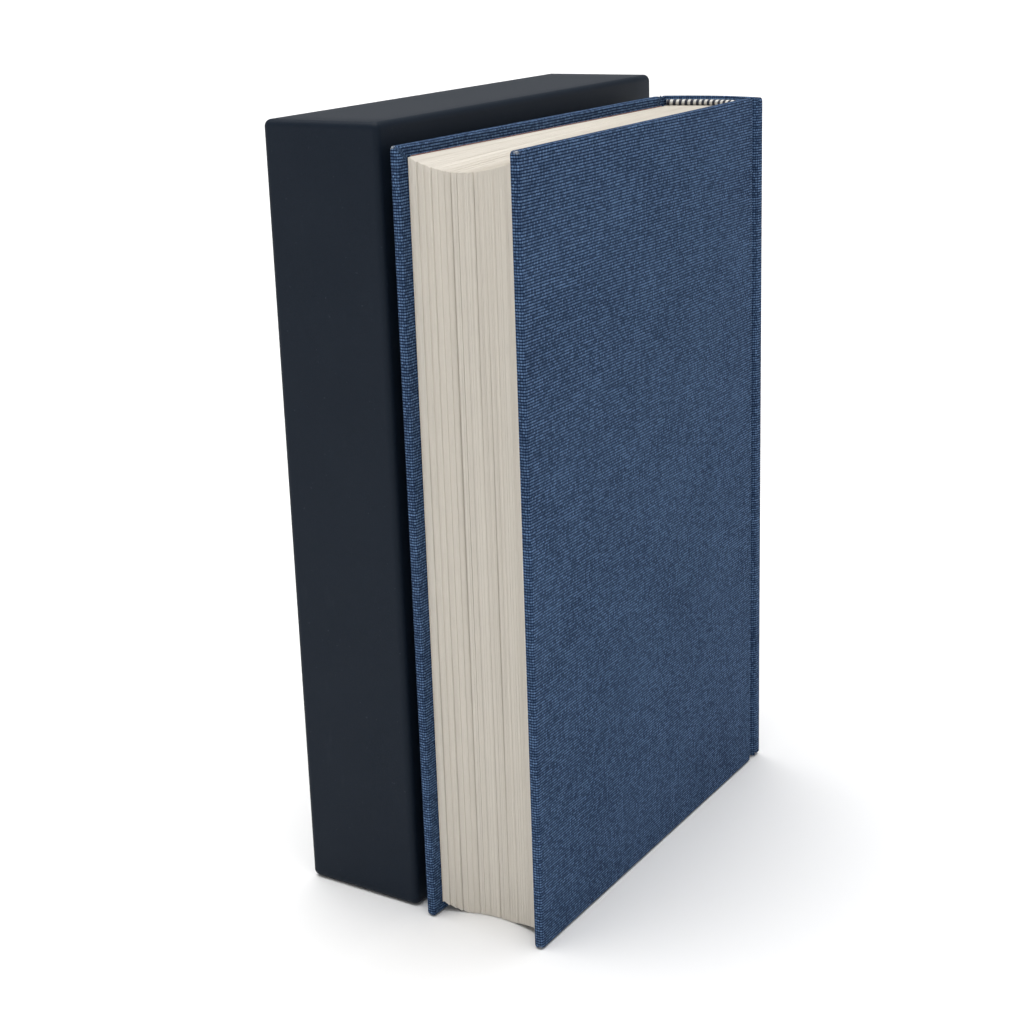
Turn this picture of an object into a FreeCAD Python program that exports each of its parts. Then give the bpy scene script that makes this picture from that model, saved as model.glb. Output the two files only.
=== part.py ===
import FreeCAD, Part
import os
import Sketcher

# A slipcase and the case-bound book that it holds, standing side by side on their feet.
#
# Frame, millimetres: the origin is the middle of the set's footprint, +Z is up, +Y runs from the
# book's fore-edge to its spine, and +X from the slipcase to the book's front cover.
# The slipcase stands with its closed end towards -Y and its mouth towards +Y.
#
# Block frame, used for everything on the book: its origin is on the foot plane, in the middle of
# the book's thickness, level with the spine-side edge of the boards.

doc = FreeCAD.newDocument("slipcase_and_book")
sheet = doc.addObject("Spreadsheet::Sheet", "Dims")

DRIVING_SIZES = (
    # book: cover boards and their cloth
    ("board_tall", 240.0, "cover height, cloth included"),
    ("board_wide", 150.0, "cover width from fore-edge to joint, cloth included"),
    ("board_thick", 2.4, "bare cover board"),
    ("cloth_thick", 0.3, "book cloth with its glue"),
    ("edge_round", 1.2, "rounding of a cloth-covered board edge"),
    ("turn_in", 15.0, "cloth turned over the inside of a board"),
    ("spine_thick", 37.2, "book thickness over both boards at the joints"),
    ("back_splay", 1.2, "degrees that the back board stands open"),
    ("front_splay", 0.87, "degrees that the front board stands open"),
    # book: endpapers
    ("endpaper_thick", 0.2, "endpaper sheet"),
    ("endpaper_border", 3.2, "cloth turn-in showing beyond a pastedown at head and foot"),
    ("endpaper_fore", 6.0, "cloth turn-in showing beyond a pastedown at the fore-edge"),
    ("leaf_play", 0.1, "air on each side of a flyleaf"),
    ("leaf_root", 1.5, "flyleaf's distance from the joint line"),
    # book: text block
    ("gatherings", 20, "folded gatherings in the text block"),
    ("square", 3.5, "board showing past the block at head and foot"),
    ("fore_square", 4.2, "board showing past the block at the fore-edge"),
    ("gathering_play", 0.06, "air between two gatherings"),
    ("backing_deep", 1.9, "depth of the backed shoulder, in front of its outermost fold"),
    ("backing_flare", 2.8, "how far the shoulder is backed out on each side"),
    ("spine_round", 3.4, "depth of the rounding of the folds"),
    ("fold_round", 0.6, "depth of a gathering's rounded fold"),
    # book: what covers the folds
    ("thread_thick", 0.3, "sewing thread along a fold"),
    ("kettle_inset", 12.0, "distance of the sewing from head and foot"),
    ("mull_thick", 0.3, "gauze glued over the folds"),
    ("mull_inset", 14.0, "distance of the gauze from head and foot"),
    ("lining_thick", 0.3, "paper lining over the gauze"),
    ("lining_inset", 0.3, "distance of the lining from head and foot"),
    ("band_tape", 0.25, "tape of a headband"),
    ("band_tape_tall", 10.0, "headband's tape along the spine"),
    ("band_bead", 2.0, "height of a headband's bead"),
    ("band_reach", 1.5, "how far the bead lies over the folds"),
    ("band_short", 1.4, "headband short of the outer folds on each side"),
    ("hollow", 0.5, "play between the lining and the loose spine"),
    ("inlay_thick", 1.0, "card inlay of the loose spine"),
    ("spine_reach", 10.7, "outermost spine behind the joint line"),
    ("spine_swell", 0.1, "spine standing proud of the boards on each side"),
    ("spine_crown", 3.2, "depth of the rounded spine"),
    ("spine_ease", 0.4, "spine cloth short of the boards at head and foot"),
    ("spine_turn_in", 12.0, "spine cloth turned in behind the inlay"),
    ("joint_play", 0.5, "air between the cloth and the block, in the joints and over the shoulders"),
    ("joint_ahead", 0.3, "bottom of the joint ahead of the backed shoulder"),
    ("joint_flat", 1.0, "width of the joint's flat bottom"),
    # slipcase
    ("case_board", 1.6, "bare slipcase board"),
    ("case_paper", 0.3, "covering or lining paper with its glue"),
    ("case_round", 2.0, "rounding of the slipcase's edges"),
    ("case_turn_in", 12.0, "covering turned into the mouth"),
    ("case_overlap", 15.0, "covering strip turned over on each side"),
    ("slack_thick", 0.6, "play across the book's thickness"),
    ("slack_tall", 1.7, "play over the book's height"),
    ("spine_proud", 1.8, "spine standing out of the mouth when the book is in"),
    # the set
    ("set_gap", 5.3, "gap between the slipcase and the opened back board"),
    ("book_lead", 2.3, "fore-edge ahead of the slipcase's closed end"),
)

for row, (alias, size, meaning) in enumerate(DRIVING_SIZES, start=1):
    sheet.set(f"A{row}", alias)
    sheet.set(f"B{row}", str(size))
    sheet.setAlias(f"B{row}", alias)
    sheet.set(f"C{row}", meaning)
doc.recompute()

# Sizes that follow from the driving ones, written as expressions for the document.
COVER_THICK = "(Dims.board_thick + 2 * Dims.cloth_thick)"
HALF_SPINE = "(Dims.spine_thick / 2)"
BACK_LEAN = "(Dims.board_wide * sin(Dims.back_splay * 1deg))"
FRONT_LEAN = "(Dims.board_wide * sin(Dims.front_splay * 1deg))"
COVER_DEEP = "(Dims.board_wide * cos(Dims.back_splay * 1deg))"
BLOCK_TALL = "(Dims.board_tall - 2 * Dims.square)"

CASE_WALL = "(Dims.case_board + 2 * Dims.case_paper)"
CASE_THICK = f"(Dims.spine_thick + Dims.slack_thick + 2 * {CASE_WALL})"
CASE_TALL = f"(Dims.board_tall + Dims.slack_tall + 2 * {CASE_WALL})"
CASE_DEEP = f"({COVER_DEEP} + Dims.spine_reach - Dims.spine_proud + {CASE_WALL})"

SET_WIDE = f"({CASE_THICK} + Dims.set_gap + Dims.spine_thick + {BACK_LEAN} + {FRONT_LEAN})"
SET_DEEP = f"(Dims.book_lead + {CASE_DEEP})"
CASE_X = f"(-{SET_WIDE} / 2)"
CASE_Y = f"(Dims.book_lead - {SET_DEEP} / 2)"
BLOCK_X = f"({CASE_X} + {CASE_THICK} + Dims.set_gap + {BACK_LEAN} + {HALF_SPINE})"
BLOCK_Y = f"({COVER_DEEP} - {SET_DEEP} / 2)"

# Layers over the folds, counted out from the crown of the folds.
FOLD_CROWN = (
    "(Dims.spine_reach - 2 * Dims.cloth_thick - Dims.inlay_thick - Dims.hollow"
    " - Dims.lining_thick - Dims.mull_thick - Dims.thread_thick)"
)
MULL_OUT = "(Dims.thread_thick + Dims.mull_thick)"
LINING_OUT = f"({MULL_OUT} + Dims.lining_thick)"
BLOCK_HALF = f"({HALF_SPINE} - {COVER_THICK} - 2 * Dims.endpaper_thick - 2 * Dims.leaf_play)"
FOLD_HALF = f"({BLOCK_HALF} + Dims.backing_flare)"
FOLD_RADIUS = f"(({FOLD_HALF}^2 + Dims.spine_round^2) / (2 * Dims.spine_round))"
FOLD_CENTRE = f"({FOLD_CROWN} - {FOLD_RADIUS})"
OUTER_FOLD = f"({FOLD_CROWN} - Dims.spine_round)"
LEAF_WIDE = f"({COVER_DEEP} - Dims.fore_square + {OUTER_FOLD})"
BACKING_START = f"({OUTER_FOLD} - Dims.backing_deep)"

pieces = []


def value(expression):
    return float(sheet.evalExpression(expression))


def keep(item, label):
    item.Label = label
    pieces.append(item)
    return item


def place(item, corner, turn=None):
    for axis, expression in zip("xyz", corner):
        item.setExpression(f"Placement.Base.{axis}", expression)
    if turn:
        item.Placement.Rotation = FreeCAD.Rotation(FreeCAD.Vector(0, 0, 1), 1)
        item.setExpression("Placement.Rotation.Angle", turn)
    return item


def box(name, corner, size):
    item = doc.addObject("Part::Box", name)
    for side, expression in zip(("Length", "Width", "Height"), size):
        item.setExpression(side, expression)
    return place(item, corner)


def boolean(kind, name, base, tool):
    item = doc.addObject(f"Part::{kind}", name)
    item.Base = base
    item.Tool = tool
    return item


def pin_point(sketch, line, end, point):
    for kind, expression in zip(("DistanceX", "DistanceY"), point):
        row = sketch.addConstraint(
            Sketcher.Constraint(kind, -1, 1, line, end, value(expression))
        )
        sketch.setExpression(f"Constraints[{row}]", expression)


def outline(body, name, steps):
    """A closed sketch on the body's XY plane. Each step is a corner, and, where the edge that leaves
    it is an arc, a point that the arc passes through."""
    sketch = body.newObject("Sketcher::SketchObject", name)
    plane = [part for part in body.Origin.OriginFeatures if part.Role == "XY_Plane"][0]
    sketch.AttachmentSupport = (plane, [""])
    sketch.MapMode = "FlatFace"
    corners = [step[0] for step in steps]
    ends = corners[1:] + corners[:1]
    edges = []
    for step, end in zip(steps, ends):
        path = [step[0], *step[1:], end]
        points = [FreeCAD.Vector(value(x), value(y), 0) for x, y in path]
        curve = Part.LineSegment(*points) if len(points) == 2 else Part.Arc(*points)
        edges.append((sketch.addGeometry(curve, False), step[1:]))
    joins = []
    for edge, through in edges:
        corner = FreeCAD.Vector(value(corners[edge][0]), value(corners[edge][1]), 0)
        starts_here = sketch.getPoint(edge, 1).isEqual(corner, 1e-6)
        joins.append((edge, 1, 2) if starts_here else (edge, 2, 1))
    for (edge, first, last), (following, start, end) in zip(joins, joins[1:] + joins[:1]):
        sketch.addConstraint(Sketcher.Constraint("Coincident", edge, last, following, start))
    for (edge, first, last), corner in zip(joins, corners):
        pin_point(sketch, edge, first, corner)
    for edge, through in edges:
        for point in through:
            spot = sketch.addGeometry(Part.Point(FreeCAD.Vector(value(point[0]), value(point[1]), 0)), True)
            sketch.addConstraint(Sketcher.Constraint("PointOnObject", spot, 1, edge))
            pin_point(sketch, spot, 1, point)
    return sketch


def pad(body, name, steps, tall, lift=None):
    sketch = outline(body, f"{name}_outline", steps)
    if lift:
        sketch.setExpression("AttachmentOffset.Base.z", lift)
    item = body.newObject("PartDesign::Pad", f"{name}_pad")
    item.Profile = sketch
    item.setExpression("Length", tall)
    body.Tip = item
    return item


def plate(name, x_span, y_span, tall, corner, turn=None, rounding=None):
    """A sheet or board, its edges rounded all round except on the side of the larger y."""
    body = doc.addObject("PartDesign::Body", name)
    near, far = x_span
    low, high = y_span
    solid = pad(body, name, [((near, low),), ((far, low),), ((far, high),), ((near, high),)], tall)
    if rounding:
        doc.recompute()
        back = value(high)
        soft = [
            f"Edge{number}"
            for number, edge in enumerate(solid.Shape.Edges, start=1)
            if min(vertex.Y for vertex in edge.Vertexes) < back - 0.01
        ]
        fillet = body.newObject("PartDesign::Fillet", f"{name}_rounding")
        fillet.Base = (solid, soft)
        fillet.setExpression("Radius", rounding)
        body.Tip = fillet
    return place(body, corner, turn)


# --- slipcase ---------------------------------------------------------------------------------


def make_slipcase():
    skin = "Dims.case_paper"
    bare_thick = f"({CASE_THICK} - 2 * {skin})"
    bare_tall = f"({CASE_TALL} - 2 * {skin})"
    bare_deep = f"({CASE_DEEP} - 2 * {skin})"
    corner = (CASE_X, CASE_Y, "0")
    bare_corner = (f"{CASE_X} + {skin}", f"{CASE_Y} + {skin}", skin)

    covered = plate(
        "case_outside", ("0", CASE_THICK), ("0", CASE_DEEP), CASE_TALL, corner,
        rounding="Dims.case_round",
    )
    bare = plate(
        "case_bare", ("0", bare_thick), ("0", bare_deep), bare_tall, bare_corner,
        rounding=f"Dims.case_round - {skin}",
    )

    # Five boards: the two sides run full size, and the other three are glued between them.
    board = "Dims.case_board"
    inner_x = f"({CASE_X} + {skin} + {board})"
    inner_thick = f"({bare_thick} - 2 * {board})"
    end_y = f"({CASE_Y} + {skin})"
    shelf_y = f"({end_y} + {board})"
    shelf_deep = f"({bare_deep} - {board})"
    boards = {
        "case_left_board": ((bare_corner[0], end_y, skin), (board, bare_deep, bare_tall)),
        "case_right_board": (
            (f"{inner_x} + {inner_thick}", end_y, skin),
            (board, bare_deep, bare_tall),
        ),
        "case_end_board": ((inner_x, end_y, skin), (inner_thick, board, bare_tall)),
        "case_bottom_board": ((inner_x, shelf_y, skin), (inner_thick, shelf_deep, board)),
        "case_top_board": (
            (inner_x, shelf_y, f"{CASE_TALL} - {skin} - {board}"),
            (inner_thick, shelf_deep, board),
        ),
    }
    for label, (start, size) in boards.items():
        blank = box(f"{label}_blank", start, size)
        keep(boolean("Common", f"{label}_cut", bare, blank), label)

    # Lining sheets, which stop where the covering turns in at the mouth.
    room_x = f"({inner_x} + {skin})"
    room_thick = f"({inner_thick} - 2 * {skin})"
    room_low = f"({skin} + {board})"
    room_tall = f"({CASE_TALL} - 2 * {room_low})"
    lined_deep = f"({CASE_DEEP} - {skin} - {board} - Dims.case_turn_in)"
    linings = {
        "case_left_lining": ((inner_x, shelf_y, room_low), (skin, lined_deep, room_tall)),
        "case_right_lining": (
            (f"{room_x} + {room_thick}", shelf_y, room_low),
            (skin, lined_deep, room_tall),
        ),
        "case_end_lining": ((room_x, shelf_y, room_low), (room_thick, skin, room_tall)),
        "case_bottom_lining": (
            (room_x, f"{shelf_y} + {skin}", room_low),
            (room_thick, f"{lined_deep} - {skin}", skin),
        ),
        "case_top_lining": (
            (room_x, f"{shelf_y} + {skin}", f"{room_low} + {room_tall} - {skin}"),
            (room_thick, f"{lined_deep} - {skin}", skin),
        ),
    }
    for label, (start, size) in linings.items():
        keep(box(f"{label}_sheet", start, size), label)

    # Covering: a strip over top, closed end and bottom that turns over on both sides and into
    # the mouth, with a side sheet let in on each side.
    skinned = boolean("Cut", "case_skin", covered, bare)
    mouth = box(
        "case_mouth",
        (inner_x, f"{CASE_Y} + {CASE_DEEP} - Dims.case_turn_in", room_low),
        (inner_thick, "Dims.case_turn_in", room_tall),
    )
    way_in = box(
        "case_way_in",
        (room_x, f"{CASE_Y} + {CASE_DEEP} - Dims.case_turn_in", f"{room_low} + {skin}"),
        (room_thick, "Dims.case_turn_in", f"{room_tall} - 2 * {skin}"),
    )
    opened = boolean("Cut", "case_skin_open", skinned, mouth)
    rim = boolean("Cut", "case_rim", mouth, way_in)
    wrapped = boolean("Fuse", "case_wrapped", opened, rim)
    overlap = "Dims.case_overlap"
    for label, start in (
        ("case_left_side_paper", CASE_X),
        ("case_right_side_paper", f"{CASE_X} + {CASE_THICK} - {skin}"),
    ):
        sheet_size = (skin, f"{CASE_DEEP} - 2 * {overlap}", f"{CASE_TALL} - 2 * {overlap}")
        side = box(f"{label}_sheet", (start, f"{CASE_Y} + {overlap}", overlap), sheet_size)
        keep(side, label)
        wrapped = boolean("Cut", f"{label}_let_in", wrapped, side)
    keep(wrapped, "case_wrap")


# --- book covers ------------------------------------------------------------------------------


def make_cover(side, sign, splay):
    """One cloth-covered board with its pastedown and its flyleaf, leaning open by its splay."""
    corner = (f"{BLOCK_X} + {sign} * {HALF_SPINE}", BLOCK_Y)
    turn = f"{sign} * {splay} * 1deg"
    inward = f"({-sign})"
    cloth = "Dims.cloth_thick"
    fore = "(-Dims.board_wide)"
    tall = "Dims.board_tall"

    board = plate(
        f"{side}_board_body", (f"{inward} * {cloth}", f"{inward} * ({cloth} + Dims.board_thick)"),
        (f"{fore} + {cloth}", "0"), f"{tall} - 2 * {cloth}", (*corner, cloth), turn,
        f"Dims.edge_round - {cloth}",
    )
    keep(board, f"{side}_board")

    blank = plate(
        f"{side}_cloth_blank", ("0", f"{inward} * {COVER_THICK}"), (fore, "0"), tall,
        (*corner, "0"), turn, "Dims.edge_round",
    )
    window = plate(
        f"{side}_window", (f"{inward} * ({cloth} + Dims.board_thick)", f"{inward} * {COVER_THICK}"),
        (f"{fore} + Dims.turn_in", "0"), f"{tall} - 2 * Dims.turn_in",
        (*corner, "Dims.turn_in"), turn,
    )
    covered = boolean("Cut", f"{side}_cloth_shell", blank, board)
    cloth_piece = keep(boolean("Cut", f"{side}_cloth_cut", covered, window), f"{side}_cover_cloth")

    # The pastedown beds into the window between the turn-ins and laps over them.
    border = "Dims.endpaper_border"
    sheet_blank = plate(
        f"{side}_pastedown_blank",
        (f"{inward} * ({cloth} + Dims.board_thick)", f"{inward} * ({COVER_THICK} + Dims.endpaper_thick)"),
        (f"{fore} + Dims.endpaper_fore", "0"), f"{tall} - 2 * {border}", (*corner, border), turn,
    )
    keep(boolean("Cut", f"{side}_pastedown_cut", sheet_blank, cloth_piece), f"{side}_pastedown")

    leaf_at = f"({COVER_THICK} + Dims.endpaper_thick + Dims.leaf_play)"
    leaf = plate(
        f"{side}_flyleaf_body", (f"{inward} * {leaf_at}", f"{inward} * ({leaf_at} + Dims.endpaper_thick)"),
        (f"{fore} + Dims.fore_square", "(-Dims.leaf_root)"), BLOCK_TALL, (*corner, "Dims.square"), turn,
    )
    keep(leaf, f"{side}_flyleaf")


# --- text block -------------------------------------------------------------------------------


def fold_at(across):
    """Where the folds' rounding lies behind the joint line, at a distance from the middle."""
    return f"({FOLD_CENTRE} + sqrt({FOLD_RADIUS}^2 - ({across})^2))"


def make_gatherings(count):
    """Folded gatherings, fanned by the open boards and backed out to the shoulders."""
    threads = []
    fore_low = f"(-{BLOCK_HALF} - {LEAF_WIDE} * tan(Dims.back_splay * 1deg))"
    fore_high = f"({BLOCK_HALF} + {LEAF_WIDE} * tan(Dims.front_splay * 1deg))"
    for number in range(count):
        low, high = number / count, (number + 1) / count
        middle = (low + high) / 2
        play = "(Dims.gathering_play / 2)"

        def spread(start, end, share, side=0):
            return f"({start} + ({end} - {start}) * {share} + {side} * {play})"

        fold = spread(f"(-{FOLD_HALF})", FOLD_HALF, middle)
        back = fold_at(fold)
        fore = f"({back} - {LEAF_WIDE})"
        shoulder = f"({back} - Dims.fold_round)"
        block_low = f"(-{BLOCK_HALF})"
        fold_low = f"(-{FOLD_HALF})"
        steps = [
            ((spread(fore_low, fore_high, low, 1), fore),),
            ((spread(fore_low, fore_high, high, -1), fore),),
            ((spread(block_low, BLOCK_HALF, high, -1), BACKING_START),),
            ((spread(fold_low, FOLD_HALF, high, -1), shoulder), (fold, back)),
            ((spread(fold_low, FOLD_HALF, low, 1), shoulder),),
            ((spread(block_low, BLOCK_HALF, low, 1), BACKING_START),),
        ]
        label = f"gathering_{number + 1:02d}"
        body = doc.addObject("PartDesign::Body", f"{label}_body")
        pad(body, label, steps, BLOCK_TALL)
        keep(place(body, (BLOCK_X, BLOCK_Y, "Dims.square")), label)

        thread = doc.addObject("Part::Cylinder", f"thread_{number + 1:02d}")
        thread.setExpression("Radius", "Dims.thread_thick / 2")
        thread.setExpression("Height", f"{BLOCK_TALL} - 2 * Dims.kettle_inset")
        place(
            thread,
            (
                f"{BLOCK_X} + {fold}",
                f"{BLOCK_Y} + {back} + Dims.thread_thick / 2",
                "Dims.square + Dims.kettle_inset",
            ),
        )
        threads.append(thread)
    sewing = doc.addObject("Part::Compound", "sewing")
    sewing.Links = threads
    keep(sewing, "sewing_thread")


def arc_band(inner, outer, half):
    """The outline of a strip that follows the rounding of the folds, between two offsets."""
    in_radius = f"({FOLD_RADIUS} + {inner})"
    out_radius = f"({FOLD_RADIUS} + {outer})"
    in_end = f"({FOLD_CENTRE} + sqrt({in_radius}^2 - {half}^2))"
    out_end = f"({FOLD_CENTRE} + sqrt({out_radius}^2 - {half}^2))"
    return [
        ((f"(-{half})", in_end), ("0", f"{FOLD_CENTRE} + {in_radius}")),
        ((half, in_end),),
        ((half, out_end), ("0", f"{FOLD_CENTRE} + {out_radius}")),
        ((f"(-{half})", out_end),),
    ]


def make_spine_linings():
    for label, inner, outer, inset in (
        ("mull", "Dims.thread_thick", MULL_OUT, "Dims.mull_inset"),
        ("spine_lining", MULL_OUT, LINING_OUT, "Dims.lining_inset"),
    ):
        body = doc.addObject("PartDesign::Body", f"{label}_body")
        pad(body, label, arc_band(inner, outer, FOLD_HALF), f"{BLOCK_TALL} - 2 * {inset}")
        keep(place(body, (BLOCK_X, BLOCK_Y, f"Dims.square + {inset}")), label)


def make_headband(label, foot, tape_low, bead_low):
    """A tape glued down the lined spine, with a bead that stands on the ends of the folds."""
    body = doc.addObject("PartDesign::Body", f"{label}_body")
    tape_out = f"({LINING_OUT} + Dims.band_tape)"
    half = f"({FOLD_HALF} - Dims.band_short)"
    pad(body, f"{label}_tape", arc_band(LINING_OUT, tape_out, half), "Dims.band_tape_tall", tape_low)
    pad(body, f"{label}_bead", arc_band("(-Dims.band_reach)", tape_out, half), "Dims.band_bead", bead_low)
    keep(place(body, (BLOCK_X, BLOCK_Y, foot)), label)


# --- loose spine ------------------------------------------------------------------------------


def make_spine():
    """The card inlay and the cloth that runs over it, round the shoulders and into both joints."""
    cloth = "Dims.cloth_thick"
    half = f"({HALF_SPINE} + Dims.spine_swell)"
    shoulder = "(Dims.spine_reach - Dims.spine_crown)"
    inlay_half = f"({half} - {cloth})"
    seat = f"({BLOCK_HALF} + Dims.joint_play)"
    rise = f"({FOLD_HALF} + Dims.joint_play)"
    joint_floor = f"({BACKING_START} - Dims.joint_ahead)"
    joint_start = f"({joint_floor} - Dims.joint_flat)"
    draw_in = f"(Dims.inlay_thick * ({inlay_half} - {rise}) / ({shoulder} - {OUTER_FOLD}))"
    inner_half = f"({inlay_half} - {draw_in})"
    tall = "(Dims.board_tall - 2 * Dims.spine_ease)"

    inlay = doc.addObject("PartDesign::Body", "spine_inlay_body")
    outer, inner = f"(Dims.spine_reach - {cloth})", f"(Dims.spine_reach - {cloth} - Dims.inlay_thick)"
    pad(
        inlay,
        "spine_inlay",
        [
            ((f"(-{inlay_half})", shoulder), ("0", outer)),
            ((inlay_half, shoulder),),
            ((inner_half, f"{shoulder} - Dims.inlay_thick"), ("0", inner)),
            ((f"(-{inner_half})", f"{shoulder} - Dims.inlay_thick"),),
        ],
        f"{tall} - 2 * {cloth}",
    )
    keep(place(inlay, (BLOCK_X, BLOCK_Y, f"Dims.spine_ease + {cloth}")), "spine_inlay")

    skin = doc.addObject("PartDesign::Body", "spine_cloth_body")
    right_outer = [
        (f"({seat} + {cloth})", joint_start),
        (f"({seat} + {cloth})", joint_floor),
        (f"({rise} + {cloth})", OUTER_FOLD),
        (half, shoulder),
    ]
    right_inner = [
        (inlay_half, shoulder),
        (rise, OUTER_FOLD),
        (seat, joint_floor),
        (seat, joint_start),
    ]

    def mirrored(points):
        return [(f"(-{x})", y) for x, y in reversed(points)]

    steps = [(point,) for point in right_outer]
    steps[-1] = (right_outer[-1], ("0", "Dims.spine_reach"))
    steps += [(point,) for point in mirrored(right_outer)]
    left_inner = mirrored(right_inner)
    steps += [(point,) for point in left_inner]
    steps[-1] = (left_inner[-1], ("0", outer))
    steps += [(point,) for point in right_inner]
    pad(skin, "spine_cloth", steps, tall)

    # At head and foot the cloth rolls over the inlay's end and turns in against its inner face.
    lap_half = f"({inner_half} - {cloth})"
    foot_of = f"({shoulder} - Dims.inlay_thick)"
    turned = [
        ((f"(-{lap_half})", f"{foot_of} - {cloth}"), ("0", f"{inner} - {cloth}")),
        ((lap_half, f"{foot_of} - {cloth}"),),
        ((lap_half, foot_of), ("0", inner)),
        ((f"(-{lap_half})", foot_of),),
    ]
    rolled = [
        ((f"(-{lap_half})", f"{foot_of} - {cloth}"), ("0", f"{inner} - {cloth}")),
        ((lap_half, f"{foot_of} - {cloth}"),),
        ((inlay_half, shoulder), ("0", outer)),
        ((f"(-{inlay_half})", shoulder),),
    ]
    lap_tall = "Dims.spine_turn_in"
    for end, roll_low, lap_low in (
        ("foot", "0", "0"),
        ("head", f"{tall} - {cloth}", f"{tall} - {lap_tall}"),
    ):
        pad(skin, f"spine_roll_{end}", rolled, cloth, roll_low)
        pad(skin, f"spine_lap_{end}", turned, lap_tall, lap_low)
    keep(place(skin, (BLOCK_X, BLOCK_Y, "Dims.spine_ease")), "spine_cloth")


make_slipcase()
make_cover("back", -1, "Dims.back_splay")
make_cover("front", 1, "Dims.front_splay")
make_gatherings(int(value("Dims.gatherings")))
make_spine_linings()
make_headband("head_band", "Dims.square", f"{BLOCK_TALL} - Dims.band_tape_tall", BLOCK_TALL)
make_headband("foot_band", "Dims.square", "0", "-Dims.band_bead")
make_spine()
doc.recompute()

faults = [item.Name for item in doc.Objects if {"Invalid", "Error"} & set(item.State)]
faults += [item.Label for item in pieces if item.Shape.isNull() or not item.Shape.isValid()]
if faults:
    raise RuntimeError(f"these objects failed: {faults}")

os.makedirs("parts", exist_ok=True)
for item in pieces:
    item.Shape.exportStep(f"parts/{item.Label}.step")
print(f"{len(pieces)} pieces written")
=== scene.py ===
"""A cloth-bound book beside its slipcase: shapes, finishes, light and camera on the packed frame."""

import math
import random

import bmesh
import bpy
from bpy.props import FloatProperty, FloatVectorProperty, IntProperty, PointerProperty
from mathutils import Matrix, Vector


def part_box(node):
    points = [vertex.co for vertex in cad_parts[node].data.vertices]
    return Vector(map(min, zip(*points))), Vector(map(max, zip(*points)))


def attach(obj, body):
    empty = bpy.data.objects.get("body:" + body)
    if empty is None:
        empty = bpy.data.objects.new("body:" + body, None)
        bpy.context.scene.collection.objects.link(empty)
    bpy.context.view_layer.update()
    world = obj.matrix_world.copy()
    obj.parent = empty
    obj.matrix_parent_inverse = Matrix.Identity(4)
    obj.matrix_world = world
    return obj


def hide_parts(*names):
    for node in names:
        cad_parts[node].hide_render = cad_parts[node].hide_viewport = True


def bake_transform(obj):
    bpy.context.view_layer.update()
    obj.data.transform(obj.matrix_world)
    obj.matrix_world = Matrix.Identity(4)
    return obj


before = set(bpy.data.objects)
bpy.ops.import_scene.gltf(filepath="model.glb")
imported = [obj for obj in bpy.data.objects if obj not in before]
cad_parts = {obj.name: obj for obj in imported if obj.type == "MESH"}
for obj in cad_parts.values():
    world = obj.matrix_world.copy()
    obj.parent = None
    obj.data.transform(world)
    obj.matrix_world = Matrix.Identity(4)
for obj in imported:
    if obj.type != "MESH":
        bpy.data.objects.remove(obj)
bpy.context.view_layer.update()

bl_info = {
    "name": "Slipcased cloth-bound book",
    "version": (1, 0, 0),
    "blender": (4, 5, 0),
    "location": "3D View > Sidebar > Boxed book",
    "description": "Builds a hardback's cloth, pages and headbands, its slipcase, and a studio round them",
    "category": "Object",
}

MM = 0.001

# Places read from the frame, in metres.
CASE_LOW, CASE_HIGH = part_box("case_wrap")
SPINE_LOW, SPINE_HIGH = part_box("spine_cloth")
MIDDLE_X = (SPINE_LOW.x + SPINE_HIGH.x) / 2
JOINT_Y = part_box("front_cover_cloth")[1].y
COVER_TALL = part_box("front_cover_cloth")[1].z
SPINE_REACH = SPINE_HIGH.y - JOINT_Y
GATHERINGS = sorted(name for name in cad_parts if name.startswith("gathering_"))
SIDES = {"back": -1, "front": 1}

# Half of the text block's thickness, at its backed folds and at its flat leaves.
FOLD_HALF, BLOCK_HALF = 17.8 * MM, 15.0 * MM
# Thickness of an endpaper sheet.
ENDPAPER_THICK = 0.2 * MM
# Depth of the rounding across all the folds.
FOLD_ROUND = 3.4 * MM
# How far the spine cloth stands outside the boards on each side.
CLOTH_PROUD = 0.1 * MM
# Width of the flat band between a rounded edge and the face that it runs into.
FLAT_BAND = 0.6 * MM


def splay(side):
    """The angle by which a cover stands open, from the box round its flyleaf."""
    low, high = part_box(f"{side}_flyleaf")
    return math.atan2(high.x - low.x - ENDPAPER_THICK, high.y - low.y)


# --- sizes and colours ------------------------------------------------------------------------


def length_field(name, description, default):
    """A size in metres that a user can change."""
    return FloatProperty(name=name, description=description, default=default, unit="LENGTH")


def colour_field(name, description, default):
    """A linear colour that a user can change."""
    return FloatVectorProperty(name=name, description=description, default=default, subtype="COLOR")


class CaseLook(bpy.types.PropertyGroup):
    """The slipcase's covering paper."""

    edge_round: length_field("Edge rounding", "Radius of the covered edges", 2.0 * MM)
    wall: length_field("Wall", "Thickness of a covered and lined wall", 2.2 * MM)
    turn_in: length_field("Turn-in", "Covering carried into the mouth", 12.0 * MM)
    bow: length_field("Bow", "How far the closed end and the top are drawn in at their middle", 0.15 * MM)
    sheet_step: length_field(
        "Side sheet step", "How far the side sheets stand out of the covering strip", 0.1 * MM
    )
    colour: colour_field("Paper", "Soft matt navy of the covering", (0.0055, 0.0105, 0.0190))
    rub: colour_field("Rubbed paper", "Where edges and specks are rubbed lighter", (0.035, 0.045, 0.062))
    roughness: FloatProperty(
        name="Roughness",
        description="Matt surface of the covering",
        default=0.52,
        subtype="FACTOR",
    )


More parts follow.
